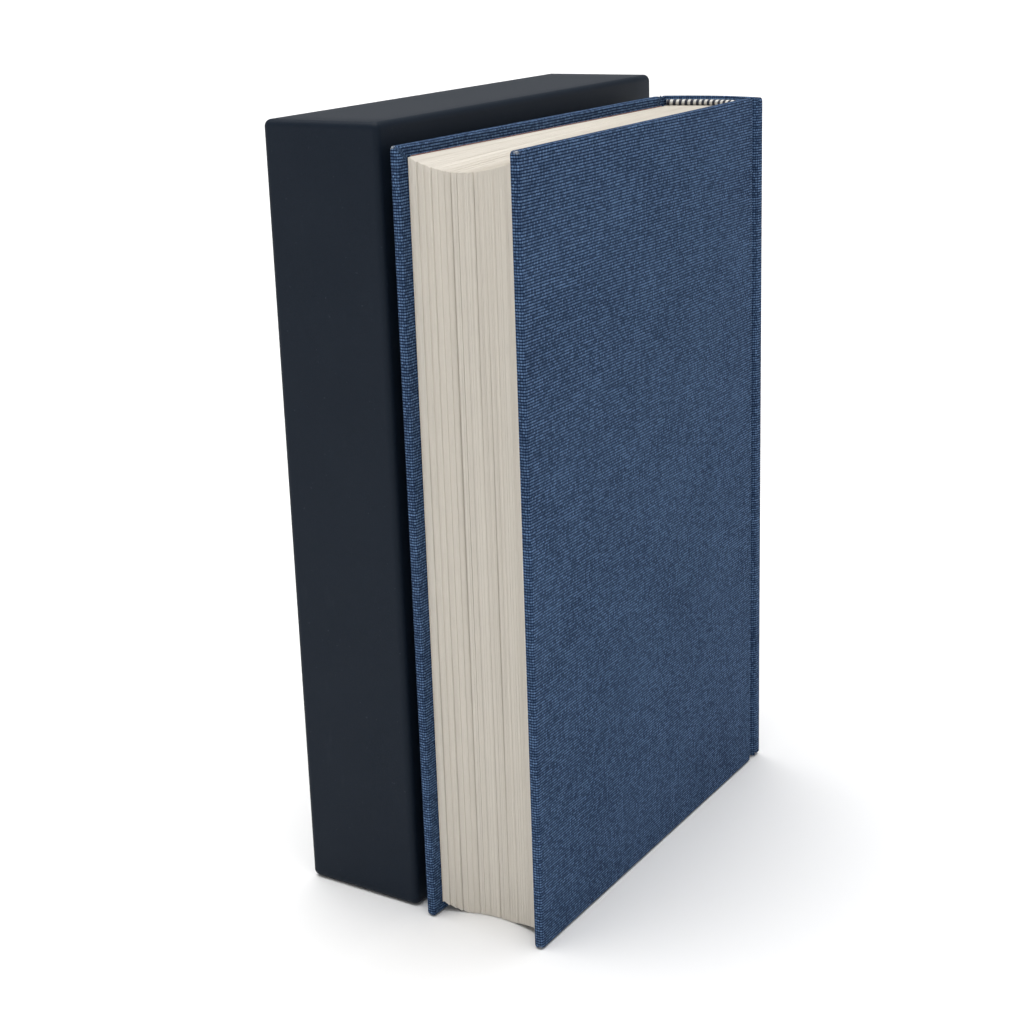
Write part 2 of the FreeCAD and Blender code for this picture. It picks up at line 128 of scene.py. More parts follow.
class ClothLook(bpy.types.PropertyGroup):
    """The book cloth on both boards and over the spine."""

    thickness: length_field("Covered board", "Thickness of a board with its cloth on both faces", 3.0 * MM)
    width: length_field("Cover width", "From the fore-edge to the joint", 150.0 * MM)
    edge_round: length_field("Edge rounding", "Radius of a cloth-covered edge", 0.95 * MM)
    corner_round: length_field(
        "Corner rounding", "Radius of a cover's corners, seen from outside", 0.95 * MM
    )
    joint_lap: length_field("Joint lap", "Cloth standing past the board's edge at the joint", 0.4 * MM)
    turn_in: length_field("Turn-in", "Cloth turned over the inside of a board", 15.0 * MM)
    rib: length_field("Rib pitch", "Distance between two visible ribs of the weave", 0.85 * MM)
    float_length: length_field("Float", "Length of one visible stitch along a rib", 0.82 * MM)
    relief: length_field("Weave relief", "Height of a rib over the valley beside it", 0.19 * MM)
    thread: colour_field("Weft", "Blue thread on top of the ribs", (0.138, 0.236, 0.415))
    # The warp's navy, which also serves as painted shade in the valleys between the ribs.
    warp_and_valley_shade: colour_field("Warp", "Navy ground between the ribs", (0.005, 0.013, 0.038))
    frayed: colour_field("Frayed fibre", "Bare cotton where a corner is worn", (0.45, 0.47, 0.48))


class PagesLook(bpy.types.PropertyGroup):
    """The leaves of the text block."""

    leaves: IntProperty(
        name="Leaves", description="Visible leaf ends in one gathering", default=14
    )
    hollow: length_field(
        "Fore-edge hollow", "How much deeper the middle leaves lie at the fore-edge", 2.0 * MM
    )
    sag: length_field("Sag", "How far the middle leaves hang down at the fore-edge", 4.4 * MM)
    groove: length_field("Leaf groove", "Depth of the groove between two leaves", 0.12 * MM)
    gap: length_field("Gathering gap", "Usual gap between two gatherings at the fore-edge", 0.05 * MM)
    paper: colour_field("Paper", "Cream book paper", (0.77, 0.725, 0.65))
    shade: colour_field("Leaf shade", "Tone of the shaded line between two leaves", (0.40, 0.36, 0.30))
    # Orange-red of the printed side, darkened so that the thin strip of it that shows carries painted
    # shade.
    endpaper: colour_field("Endpaper", "Orange-red printed side of the endpapers", (0.30, 0.036, 0.018))


class BandLook(bpy.types.PropertyGroup):
    """The headbands."""

    stripe: length_field("Stripe pitch", "One white and one navy stripe", 2.1 * MM)
    strand: length_field("Strand", "Width of one turn of silk over the bead", 0.35 * MM)
    white: colour_field("White silk", "Pale stripes", (0.86, 0.85, 0.80))
    navy: colour_field("Navy silk", "Dark stripes", (0.008, 0.012, 0.03))


class StageLook(bpy.types.PropertyGroup):
    """Floor, light and camera."""

    floor: colour_field("Floor", "Pale studio floor", (0.90, 0.90, 0.90))
    sky: FloatProperty(
        name="Ambient light", description="Strength of the surroundings overhead", default=0.30
    )
    horizon: FloatProperty(
        name="Backdrop", description="Strength of the pale surroundings at eye level", default=1.0
    )
    overhead: FloatProperty(
        name="Overhead light", description="Strength of the wide soft light above", default=3.5
    )
    overhead_spread: FloatProperty(
        name="Overhead spread",
        description="Angle that the soft light above fills",
        default=1.1,
        unit="ROTATION",
    )
    fill: FloatProperty(
        name="Side light",
        description="Power of the softbox beside the camera",
        default=1.4,
        unit="POWER",
    )
    camera_place: FloatVectorProperty(
        name="Camera",
        description="Camera's place",
        default=(0.31092, -0.50098, 0.29727),
        subtype="XYZ",
        unit="LENGTH",
    )
    camera_turn: FloatVectorProperty(
        name="Camera turn",
        description="Yaw from +Y towards +X, pitch above the horizon, and roll",
        default=(-0.5918, -0.2795, -0.0381),
        subtype="EULER",
        unit="ROTATION",
    )
    lens: FloatProperty(
        name="Lens", description="Focal length in millimetres on a 36 mm sensor", default=65.03
    )
    shift: FloatVectorProperty(
        name="Shift",
        description="Sideways and upward shift of the lens",
        default=(0.03125, -0.05078),
        size=2,
    )


# --- finishes ---------------------------------------------------------------------------------


class Signal:
    """What comes out of a node, so that shader maths can be written as plain expressions."""

    def __init__(self, finish, plug):
        self.finish = finish
        self.plug = plug

    def maths(self, operation, first, second=0.0):
        return self.finish.node("ShaderNodeMath", {"operation": operation}, {0: first, 1: second})

    def __add__(self, other):
        return self.maths("ADD", self, other)

    __radd__ = __add__

    def __sub__(self, other):
        return self.maths("SUBTRACT", self, other)

    def __rsub__(self, other):
        return self.maths("SUBTRACT", other, self)

    def __mul__(self, other):
        return self.maths("MULTIPLY", self, other)

    __rmul__ = __mul__

    def __pow__(self, other):
        return self.maths("POWER", self, other)

    def __abs__(self):
        return self.maths("ABSOLUTE", self)

    def floor(self):
        return self.maths("FLOOR", self)

    def fraction(self):
        return self.maths("FRACT", self)

    def sine(self):
        return self.maths("SINE", self)


class Finish:
    """One procedural material: a principled shader and the nodes that feed it."""

    def __init__(self, name, constants=None):
        self.material = bpy.data.materials.new(name)
        self.material.use_nodes = True
        self.tree = self.material.node_tree
        self.tree.nodes.clear()
        self.shader = self.tree.nodes.new("ShaderNodeBsdfPrincipled")
        surface = self.tree.nodes.new("ShaderNodeOutputMaterial")
        self.tree.links.new(self.shader.outputs["BSDF"], surface.inputs["Surface"])
        for socket, amount in (constants or {}).items():
            self.feed(self.shader.inputs[socket], amount)

    def feed(self, socket, content):
        if isinstance(content, Signal):
            self.tree.links.new(content.plug, socket)
        elif socket.type == "RGBA":
            socket.default_value = (*content, 1.0)
        else:
            socket.default_value = content

    def node(self, kind, settings=None, inputs=None, output=0):
        item = self.tree.nodes.new(kind)
        for setting, choice in (settings or {}).items():
            setattr(item, setting, choice)
        for socket, content in (inputs or {}).items():
            self.feed(item.inputs[socket], content)
        return Signal(self, item.outputs[output])

    def split(self, vector):
        return [self.node("ShaderNodeSeparateXYZ", None, {0: vector}, axis) for axis in range(3)]

    def join(self, x, y, z=0.0):
        return self.node("ShaderNodeCombineXYZ", None, {0: x, 1: y, 2: z})

    def object_place(self):
        """Place on the piece in millimetres, along x, y and z."""
        place = self.node("ShaderNodeTexCoord", output="Object")
        return [axis * (1 / MM) for axis in self.split(place)]

    def object_normal(self):
        return self.split(self.node("ShaderNodeTexCoord", output="Normal"))

    def chart(self, name):
        """The two coordinates of a named UV map, which hold millimetres."""
        place = self.node("ShaderNodeUVMap", {"uv_map": name})
        return self.split(place)[:2]

    def noise(self, place, scale=1.0, detail=2.0, roughness=0.5):
        return self.node(
            "ShaderNodeTexNoise",
            {"noise_dimensions": "3D"},
            {"Vector": place, "Scale": scale, "Detail": detail, "Roughness": roughness},
        )

    def chance(self, x, y=0.0):
        """A random number for each whole x and y."""
        return self.node("ShaderNodeTexWhiteNoise", {"noise_dimensions": "2D"}, {"Vector": self.join(x, y)})

    def rise(self, amount, low, high):
        """0 below low, 1 above high, and a soft step between."""
        return self.node(
            "ShaderNodeMapRange",
            {"interpolation_type": "SMOOTHSTEP"},
            {"Value": amount, "From Min": low, "From Max": high},
        )

    def mix(self, share, first, second):
        return self.node("ShaderNodeMix", {"data_type": "RGBA"}, {0: share, 6: first, 7: second}, 2)

    def relief(self, height, depth, under=None):
        """A bump whose height of 1 stands that many metres high."""
        inputs = {"Height": height, "Distance": depth, "Strength": 1.0}
        if under is not None:
            inputs["Normal"] = under
        return self.node("ShaderNodeBump", None, inputs)

    def done(self, colour, roughness, normal=None):
        self.feed(self.shader.inputs["Base Color"], colour)
        self.feed(self.shader.inputs["Roughness"], roughness)
        if normal is not None:
            self.feed(self.shader.inputs["Normal"], normal)
        return self.material


def cloth_finish(look, name="book_cloth", worn_corners=False):
    """Ribbed plain weave: blue floats in rows over a navy ground, with slubs and a fuzzy sheen; the valleys
    between ribs are darkened as painted shade and random stitches brightened as painted highlights.
    """
    finish = Finish(name, {"Specular IOR Level": 0.05, "Sheen Weight": 0.01, "Sheen Roughness": 0.5})
    along, up = finish.chart("weave")
    wander = finish.noise(finish.join(along * 0.018, up * 0.03), detail=3.0) - 0.5
    row_place = up * (MM / look.rib) + wander * 1.6
    row = row_place.floor()
    across = row_place.fraction() * 2 - 1
    rib = 1 - across * across
    row_luck = finish.chance(row, 3.0)
    stitch_place = along * (MM / look.float_length) + row_luck * 0.35 + wander * 2.0
    stitch = stitch_place.floor()
    lengthwise = stitch_place.fraction() * 2 - 1
    bead = 1 - lengthwise * lengthwise
    luck = finish.chance(stitch, row)
    thick_row = finish.noise(finish.join(along * 0.05, row * 0.73), detail=2.0)
    thick_warp = finish.noise(finish.join(along * 1.1, up * 0.035, 4.0), detail=3.0)
    cloud = finish.noise(finish.join(along * 0.03, up * 0.03, 9.0), detail=3.0)
    height = rib * (0.45 + bead * 0.55)
    # Share of thread colour over the navy ground: it falls with the relief into the valleys as painted
    # shade, random stitches lift it as painted highlights, and thick rows, thick warps and clouds give the
    # cloth's own tone.
    weave_tone_and_painted_light = finish.rise(height, 0.26, 0.92) * (0.22 + luck * 0.9 + thick_row * 0.35)
    weave_tone_and_painted_light = weave_tone_and_painted_light * (0.72 + thick_warp * 0.62) + finish.rise(thick_warp, 0.62, 0.8) * 0.16
    weave_tone_and_painted_light = (weave_tone_and_painted_light + (cloud - 0.5) * 0.22) * 0.66
    colour = finish.mix(weave_tone_and_painted_light, look.warp_and_valley_shade, look.thread)
    if worn_corners:
        aside = abs(along + look.width / MM)
        tall = COVER_TALL / MM
        from_end = abs(abs(up - tall / 2) - tall / 2)
        far = (aside * aside + from_end * from_end) ** 0.5
        fuzz = finish.noise(finish.join(along * 1.6, up * 1.6, 2.0), detail=4.0)
        worn = 1 - finish.rise(far + fuzz * 2.6, 1.3, 2.6)
        colour = finish.mix(worn * (0.35 + height * 0.65), colour, look.frayed)
    rough = 0.86 - weave_tone_and_painted_light * 0.1
    return finish.done(colour, rough, finish.relief(height + luck * 0.18, look.relief))


def case_finish(look, name="case_paper"):
    """Soft matt covering paper with a fine tooth, a few pale specks and faint mottling."""
    finish = Finish(name, {"Specular IOR Level": 0.1})
    x, y, z = finish.object_place()
    place = finish.join(x, y, z)
    tooth = finish.noise(place, scale=2.2, detail=4.0, roughness=0.6)
    mottle = finish.noise(place, scale=0.045, detail=3.0)
    speck_at = finish.noise(place, scale=0.9, detail=1.0)
    speck = finish.rise(speck_at, 0.755, 0.80)
    scuff = finish.rise(finish.noise(finish.join(x, y * 3, z * 0.25), scale=0.22, detail=3.0), 0.66, 0.8)
    colour = finish.mix(mottle * 0.10 + tooth * 0.08 + scuff * 0.05, look.colour, look.rub)
    colour = finish.mix(speck * 0.35, colour, look.rub)
    rough = look.roughness + (tooth - 0.5) * 0.12 - scuff * 0.05
    return finish.done(colour, rough, finish.relief(tooth + mottle * 0.6, 0.05 * MM))


def pages_finish(look, name="book_paper"):
    """Leaf ends: each leaf has its own tone, a shaded line between leaves, and long faint streaks."""
    finish = Finish(name, {"Specular IOR Level": 0.2, "Sheen Weight": 0.04})
    leaf_place, along = finish.chart("leaves")
    leaf = leaf_place.floor()
    within = abs(leaf_place.fraction() * 2 - 1)
    luck = finish.chance(leaf, 5.0)
    line_luck = finish.chance((leaf_place + 0.5).floor(), 11.0)
    streak = finish.noise(finish.join(leaf_place * 0.9, along * 0.02), detail=4.0, roughness=0.6)
    band = finish.noise(finish.join(leaf_place * 0.12, along * 0.006, 7.0), detail=2.0)
    line = finish.rise(within, 0.7, 1.0) * (0.10 + finish.rise(line_luck, 0.80, 1.0) * 0.6)
    line = line * finish.rise(streak, 0.3, 0.6)
    shade = line * 0.52 + luck * 0.09 + (streak - 0.5) * 0.26 + (band - 0.5) * 0.16
    colour = finish.mix(shade, look.paper, look.shade)
    grain = finish.noise(finish.join(leaf_place * 3.0, along * 2.0), detail=3.0)
    return finish.done(colour, 0.88, finish.relief(grain * 0.5 - line, 0.06 * MM))


def endpaper_finish(look, printed_way, name):
    """Endpaper printed on the face that looks along x in the printed way, and plain elsewhere."""
    finish = Finish(name, {"Specular IOR Level": 0.25, "Sheen Weight": 0.03})
    x, y, z = finish.object_place()
    fibre = finish.noise(finish.join(x, y * 0.8, z * 0.8), scale=1.4, detail=5.0, roughness=0.65)
    laid = (z * (2 * math.pi / 1.3)).sine() * 0.5 + 0.5
    cloud = finish.noise(finish.join(x, y, z), scale=0.03, detail=3.0)
    facing = finish.object_normal()[0] * printed_way
    deep = [channel * 0.62 for channel in look.endpaper]
    # The printed colour carries the painted shade laid into the endpaper colour.
    printed = finish.mix(fibre * 0.35 + laid * 0.08 + cloud * 0.3, look.endpaper, deep)
    plain = finish.mix(fibre * 0.2 + cloud * 0.15, look.paper, look.shade)
    colour = finish.mix(finish.rise(facing, 0.5, 0.8), plain, printed)
    return finish.done(colour, 0.8 + fibre * 0.1, finish.relief(fibre + laid * 0.3, 0.03 * MM))


def silk_finish(look, name="headband_silk"):
    """Silk wound over the bead: white and navy stripes, with each strand standing up and painted shade in
    the grooves between strands.
    """
    finish = Finish(name, {"Specular IOR Level": 0.45, "Sheen Weight": 0.15})
    along, round_bead = finish.chart("silk")
    lean = along + round_bead * 0.12
    strands = (lean * (math.pi * MM / look.strand)).sine()
    strand = abs(strands)
    fibre = finish.noise(finish.join(along * 2.0, round_bead * 9.0), detail=3.0)
    wobble = finish.noise(finish.join(along * 0.4, 1.0), detail=1.0)
    stripe = ((lean + wobble * 0.5) * (MM / look.stripe)).fraction()
    white = finish.rise(stripe, 0.46, 0.52) * (1 - finish.rise(stripe, 0.95, 1.0))
    base = finish.mix(white, look.navy, look.white)
    # A near-black copy of the stripes, laid into the grooves between strands as painted shade; the fibre
    # noise adds the silk's own tone.
    dark = finish.mix(0.65, base, (0.02, 0.02, 0.03))
    colour = finish.mix((1 - strand) * 0.6 + fibre * 0.25, base, dark)
    return finish.done(colour, 0.5 + fibre * 0.2, finish.relief(strand + fibre * 0.3, 0.08 * MM))


def board_finish(name="greyboard"):
    """Grey millboard: pressed fibres and flecks, with layers showing along its cut edges."""
    finish = Finish(name, {"Specular IOR Level": 0.2})
    x, y, z = finish.object_place()
    place = finish.join(x, y, z)
    fibre = finish.noise(place, scale=1.6, detail=6.0, roughness=0.7)
    fleck = finish.rise(finish.noise(place, scale=3.1, detail=1.0), 0.66, 0.74)
    layer = (x * (2 * math.pi / 0.4) + fibre * 2).sine() * 0.5 + 0.5
    colour = finish.mix(fibre * 0.7 + layer * 0.2, (0.30, 0.29, 0.26), (0.17, 0.165, 0.15))
    colour = finish.mix(fleck * 0.6, colour, (0.07, 0.065, 0.06))
    return finish.done(colour, 0.92, finish.relief(fibre + layer * 0.3, 0.08 * MM))


def lining_finish(name, light, dark):
    """Plain lining paper: soft fibres and a faint machine direction."""
    finish = Finish(name, {"Specular IOR Level": 0.25})
    x, y, z = finish.object_place()
    fibre = finish.noise(finish.join(x * 1.5, y * 0.7, z * 1.5), scale=1.1, detail=5.0, roughness=0.65)
    cloud = finish.noise(finish.join(x, y, z), scale=0.04, detail=3.0)
    colour = finish.mix(fibre * 0.55 + cloud * 0.4, light, dark)
    return finish.done(colour, 0.8 + cloud * 0.1, finish.relief(fibre, 0.04 * MM))


def gauze_finish(name="mull"):
    """Open starched gauze: two sets of threads with dark glue between them."""
    finish = Finish(name, {"Specular IOR Level": 0.3, "Sheen Weight": 0.1})
    x, y, z = finish.object_place()
    warp = (1 - abs((x * 0.75).fraction() * 2 - 1)) ** 1.5
    weft = (1 - abs((z * 0.75).fraction() * 2 - 1)) ** 1.5
    fibre = finish.noise(finish.join(x, y, z), scale=2.5, detail=3.0)
    thread = finish.rise(warp + weft, 0.7, 1.1)
    colour = finish.mix(thread * (0.8 + fibre * 0.2), (0.20, 0.17, 0.12), (0.66, 0.62, 0.52))
    return finish.done(colour, 0.85 - thread * 0.15, finish.relief(thread + fibre * 0.2, 0.12 * MM))


def thread_finish(name="linen_thread"):
    """Waxed linen thread, twisted."""
    finish = Finish(name, {"Specular IOR Level": 0.35, "Sheen Weight": 0.1})
    x, y, z = finish.object_place()
    twist = ((z + x * 0.7 + y * 0.7) * (2 * math.pi / 0.9)).sine() * 0.5 + 0.5
    fibre = finish.noise(finish.join(x, y, z), scale=4.0, detail=3.0)
    colour = finish.mix(twist * 0.5 + fibre * 0.4, (0.70, 0.66, 0.56), (0.34, 0.30, 0.23))
    return finish.done(colour, 0.65 + fibre * 0.15, finish.relief(twist + fibre * 0.3, 0.06 * MM))


# --- shapes -----------------------------------------------------------------------------------


def make_piece(name, points, faces, charts=None, chart_name=None, sharp=50.0):
    """A mesh from points in metres, with a UV map in millimetres given for each point."""
    mesh = bpy.data.meshes.new(name)
    mesh.from_pydata([tuple(point) for point in points], [], faces)
    if charts:
        layer = mesh.uv_layers.new(name=chart_name)
        for loop in mesh.loops:
            layer.data[loop.index].uv = charts[loop.vertex_index]
    work = bmesh.new()
    work.from_mesh(mesh)
    bmesh.ops.recalc_face_normals(work, faces=work.faces)
    work.to_mesh(mesh)
    work.free()
    mesh.shade_smooth()
    mesh.set_sharp_from_angle(angle=math.radians(sharp))
    item = bpy.data.objects.new(name, mesh)
    bpy.context.scene.collection.objects.link(item)
    return item


def finished(item, material, slot, *nodes, body=None):
    """Gives a piece its finish, hides the parts that it stands for, and hangs it on the body that it rides
    on; slot is not used.
    """
    item.data.materials.clear()
    item.data.materials.append(material)
    if body:
        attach(item, body)
    if nodes:
        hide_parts(*nodes)
    return item


def ring(low, high, radius, steps, arc_steps=6):
    """Points round an upright rectangle with rounded corners, each with its outward direction.

    low and high are its corners, steps the divisions of its flat and of its upright sides.
    """
    centres = (
        (high[0] - radius, low[1] + radius),
        (high[0] - radius, high[1] - radius),
        (low[0] + radius, high[1] - radius),
        (low[0] + radius, low[1] + radius),
    )
    points = []
    for corner, centre in enumerate(centres):
        start = math.radians(90 * corner - 90)
        for step in range(arc_steps + 1):
            angle = start + math.radians(90) * step / arc_steps
            way = (math.cos(angle), math.sin(angle))
            points.append(((centre[0] + radius * way[0], centre[1] + radius * way[1]), way))
        following = centres[(corner + 1) % 4]
        end = start + math.radians(90)
        way = (math.cos(end), math.sin(end))
        count = steps[1] if corner in (0, 2) else steps[0]
        for step in range(1, count):
            share = step / count
            place = [a + (b - a) * share for a, b in zip(centre, following)]
            points.append(((place[0] + radius * way[0], place[1] + radius * way[1]), way))
    return points


def band_faces(low, high, size):
    """Faces between two rings of points, given where each ring starts."""
    pairs = [(step, (step + 1) % size) for step in range(size)]
    return [(low + step, low + after, high + after, high + step) for step, after in pairs]


def joined_rings(count, size):
    """Faces between neighbouring rings of points."""
    faces = []
    for level in range(count - 1):
        faces += band_faces(level * size, (level + 1) * size, size)
    return faces


def grid_faces(rows, columns):
    """Faces of an open grid of points, row by row."""
    return [
        (r * columns + c, r * columns + c + 1, (r + 1) * columns + c + 1, (r + 1) * columns + c)
        for r in range(rows - 1)
        for c in range(columns - 1)
    ]


def quarter(radius, steps=5):
    """How far in and how far down each point of a rounded edge lies, from its flat top."""
    angles = [math.radians(90) * step / steps for step in range(steps + 1)]
    return [(radius - radius * math.sin(a), radius - radius * math.cos(a)) for a in angles]


def spaced(path, pitch):
    """A smooth path through a few points, as evenly spaced points."""
    knots = [Vector(point) for point in path]
    dense = []
    for index in range(len(knots) - 1):
        before = knots[max(index - 1, 0)]
        start, end = knots[index], knots[index + 1]
        after = knots[min(index + 2, len(knots) - 1)]
        for step in range(24):
            t = step / 24
            dense.append(
                0.5
                * (
                    2 * start
                    + (end - before) * t
                    + (2 * before - 5 * start + 4 * end - after) * t * t
                    + (3 * start - before - 3 * end + after) * t * t * t
                )
            )
    dense.append(knots[-1])
    lengths = [0.0]
    for first, second in zip(dense, dense[1:]):
        lengths.append(lengths[-1] + (second - first).length)
    count = max(2, round(lengths[-1] / pitch))
    points = []
    at = 0
    for step in range(count + 1):
        goal = lengths[-1] * step / count
        while at < len(dense) - 2 and lengths[at + 1] < goal:
            at += 1
        share = (goal - lengths[at]) / max(lengths[at + 1] - lengths[at], 1e-12)
        points.append((dense[at].lerp(dense[at + 1], min(share, 1.0)), goal))
    return points


def outward(points, index, sign):
    """The sideways direction of a flat path at one of its points."""
    before = points[max(index - 1, 0)][0]
    after = points[min(index + 1, len(points) - 1)][0]
    way = (after - before).normalized()
    return Vector((way.y, -way.x)) * sign


def book_place(x, y, z):
    """A point of the block frame, which starts between the covers, level with the joints."""
    return Vector((MIDDLE_X + x, JOINT_Y + y, z))


def half_spine():
    """Half of the book's thickness over both boards, measured at the joints."""
    return (SPINE_HIGH.x - SPINE_LOW.x) / 2 - CLOTH_PROUD


def cover_place(side, depth, y, z):
    """A point of a cover: depth in from its outer face, y from its joint, z from its foot."""
    sign = SIDES[side]
    angle = sign * splay(side)
    x = -sign * depth
    turned = (x * math.cos(angle) - y * math.sin(angle), x * math.sin(angle) + y * math.cos(angle))
    return book_place(sign * half_spine() + turned[0], turned[1], z)


# --- slipcase ---------------------------------------------------------------------------------


class BOXEDBOOK_OT_slipcase(bpy.types.Operator):
    """Build the slipcase's covering, from its closed end over the rim and into the mouth"""

    bl_idname = "boxedbook.slipcase"
    bl_label = "Slipcase covering"

    def execute(self, context):
        look = context.scene.case_look
        rounding, step, wall = look.edge_round, look.sheet_step, look.wall
        plan_round = rounding * 1.1
        stations = [(rounding + FLAT_BAND, CASE_LOW.y)]
        for inset, depth in quarter(rounding):
            stations.append((inset, CASE_LOW.y + depth))
        deep = CASE_HIGH.y - CASE_LOW.y
        for share in (0.06, 0.2, 0.35, 0.5, 0.65, 0.8, 0.94):
            stations.append((0.0, CASE_LOW.y + rounding + share * (deep - rounding - wall / 2)))
        rim = 0.7 * MM
        for centre, first_turn in ((rim, 0), (wall - rim, 90)):
            for step_round in range(5):
                angle = math.radians(first_turn + 22.5 * step_round)
                inset = centre - rim * math.cos(angle)
                stations.append((inset, CASE_HIGH.y - rim + rim * math.sin(angle)))
        for inside in (0.3, 0.6, 1.0):
            stations.append((wall, CASE_HIGH.y - rim - inside * (look.turn_in - rim)))
        stations.append((wall - 0.25 * MM, CASE_HIGH.y - look.turn_in))
        points = []
        for inset, y in stations:
            low = (CASE_LOW.x + step + inset, CASE_LOW.z + inset)
            high = (CASE_HIGH.x - step - inset, CASE_HIGH.z - inset)
            radius = max(plan_round - inset, 0.5 * MM)
            along = (y - CASE_LOW.y) / deep
            for (x, z), _ in ring(low, high, radius, (6, 24)):
                points.append(Vector((x, y, z)) + self.draw_in(look, x, z, along, inset))
        size = len(points) // len(stations)
        faces = joined_rings(len(stations), size)
        faces += self.end_faces(points, size, look)
        item = make_piece("slipcase_covering", points, faces)
        finished(item, case_finish(look), "case_paper", "case_wrap", body="slipcase")
        return {"FINISHED"}

    def draw_in(self, look, x, z, along, inset):
        """Draws the top in towards its middle, as a board pulled by its paper is."""
        across = (x - CASE_LOW.x) / (CASE_HIGH.x - CASE_LOW.x) * 2 - 1
        upright = (z - CASE_LOW.z) / (CASE_HIGH.z - CASE_LOW.z) * 2 - 1
        arch = 4 * along * (1 - along) * (1 - across * across)
        if inset > look.wall / 2 or upright < 0.96:
            return Vector((0, 0, 0))
        return Vector((0, 0, -look.bow * max(arch, 0.0)))

    def end_faces(self, points, size, look):
        """Closes the end with a grid that is drawn in at its middle."""
        centre = len(points)
        inner = [points[index] for index in range(size)]
        middle = sum(inner, Vector()) / size
        faces = []
        shares = (0.75, 0.5, 0.25)
        for share in shares:
            for point in inner:
                place = middle + (point - middle) * share
                dip = look.bow * (1 - share * share)
                points.append(Vector((place.x, place.y + dip, place.z)))
        points.append(middle + Vector((0, look.bow, 0)))
        starts = [0] + [centre + size * index for index in range(len(shares))]
        for first, second in zip(starts, starts[1:]):
            faces += band_faces(first, second, size)
        last = starts[-1]
        for step in range(size):
            faces.append((last + step, last + (step + 1) % size, len(points) - 1))
        return faces


# --- covers -----------------------------------------------------------------------------------


class BOXEDBOOK_OT_covers(bpy.types.Operator):
    """Wrap both boards in book cloth, with rounded edges and turned-in borders"""

    bl_idname = "boxedbook.covers"
    bl_label = "Cover cloths"

    def execute(self, context):
        look = context.scene.cloth_look
        material = cloth_finish(look, "board_cloth", worn_corners=True)
        rounding, thick = look.edge_round, look.thickness
        cloth = 0.28 * MM
        section = [(rounding + FLAT_BAND, 0.0)]
        section += quarter(rounding)
        section += [(inset, thick - depth) for inset, depth in reversed(quarter(rounding))]
        section += [(rounding + FLAT_BAND, thick), (look.turn_in, thick)]
        section.append((look.turn_in + 0.02 * MM, thick - cloth))
        for side in SIDES:
            points, charts = [], []
            travel, last = 0.0, section[0]
            for inset, depth in section:
                travel += math.hypot(inset - last[0], depth - last[1])
                last = (inset, depth)
                low = (-look.width + inset, inset)
                high = (look.joint_lap - inset, COVER_TALL - inset)
                for (y, z), way in ring(low, high, look.corner_round, (20, 30), 5):
                    points.append(cover_place(side, depth, y, z))
                    stretch = travel + inset - section[0][0]
                    charts.append(((y + way[0] * stretch) / MM, (z + way[1] * stretch) / MM))
            size = len(points) // len(section)
            faces = joined_rings(len(section), size)
            faces.append(tuple(range(size)))
            item = make_piece(f"{side}_cloth", points, faces, charts, "weave")
            finished(item, material, "book_cloth", f"{side}_cover_cloth", body=f"{side}_cover")
        return {"FINISHED"}


# Half of the joint's cloth in the block frame, in millimetres: out from the middle, then back.
JOINT_PATH = (
    (18.28, 0.08), (17.65, 0.45), (16.85, 0.70), (16.22, 1.12),
    (15.95, 1.70), (16.35, 2.45), (17.45, 3.30), (18.48, 4.25),
)
# From there up over the shoulder; the rounded back follows.
SHOULDER_PATH = ((18.48, 4.25), (18.64, 5.25), (18.70, 6.40), (18.68, 7.32))
# Where the rounded back of the spine would meet its shoulder, in the same frame.
SPINE_CORNER = (18.70, 7.50)
# Where the weave's count starts on the spine, near the count at which a joint's cloth ends.
JOINT_RUN = 6.2 * MM
# Two places in each joint's cloth: x to each side, and y from and to.
BEND_X, BEND_FROM, BEND_TO = 17.9 * MM, -0.1 * MM, 3.9 * MM


class BOXEDBOOK_OT_joints(bpy.types.Operator):
    """Lay the cloth into both joints"""

    bl_idname = "boxedbook.joints"
    bl_label = "Joint cloths"

    def execute(self, context):
        look = context.scene.cloth_look
        material = cloth_finish(look, "joint_cloth")
        thick, pitch = 0.3 * MM, 0.35 * MM
        middle = COVER_TALL / 2
        heights = [COVER_TALL * share for share in (0.0, 0.004, 0.25, 0.5, 0.75, 0.996, 1.0)]
        for side, sign in SIDES.items():
            path = spaced([(sign * x * MM, y * MM) for x, y in JOINT_PATH], pitch)
            points, charts = [], []
            for layer in (0, 1):
                for z in heights:
                    for index, (place, travel) in enumerate(path):
                        share = index / (len(path) - 1)
                        way = outward(path, index, sign)
                        spot = place - way * thick * layer
                        notch = 0.5 * MM * math.sin(math.pi * share) + 0.2 * MM
                        height = middle + (z - middle) * (middle - notch) / middle
                        points.append(book_place(spot.x, spot.y, height))
                        charts.append(((travel - pitch) / MM, height / MM))
            columns, rows = len(path), len(heights)
            faces = self.closed_sheet(rows, columns)
            item = make_piece(f"{side}_joint_cloth", points, faces, charts, "weave")
            finished(item, material, "book_cloth")
            start = book_place(sign * BEND_X, BEND_FROM, middle)
            end = book_place(sign * BEND_X, BEND_TO, middle)
            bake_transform(item)
        return {"FINISHED"}

    def closed_sheet(self, rows, columns):
        """Faces of a thin sheet: an outer grid, an inner grid and the strip round their rims."""
        faces = grid_faces(rows, columns)
        back = rows * columns
        faces += [tuple(back + corner for corner in reversed(face)) for face in grid_faces(rows, columns)]
        rim = list(range(columns))
        rim += [row * columns + columns - 1 for row in range(1, rows)]
        rim += [(rows - 1) * columns + column for column in range(columns - 2, -1, -1)]
        rim += [row * columns for row in range(rows - 2, 0, -1)]
        for first, second in zip(rim, rim[1:] + rim[:1]):
            faces.append((first, second, back + second, back + first))
        return faces


# Distance from the spine cloth's edge at which it starts to thicken over the inlay, and the rise's length.
INLAY_FROM, INLAY_RISE = 0.8, 2.0
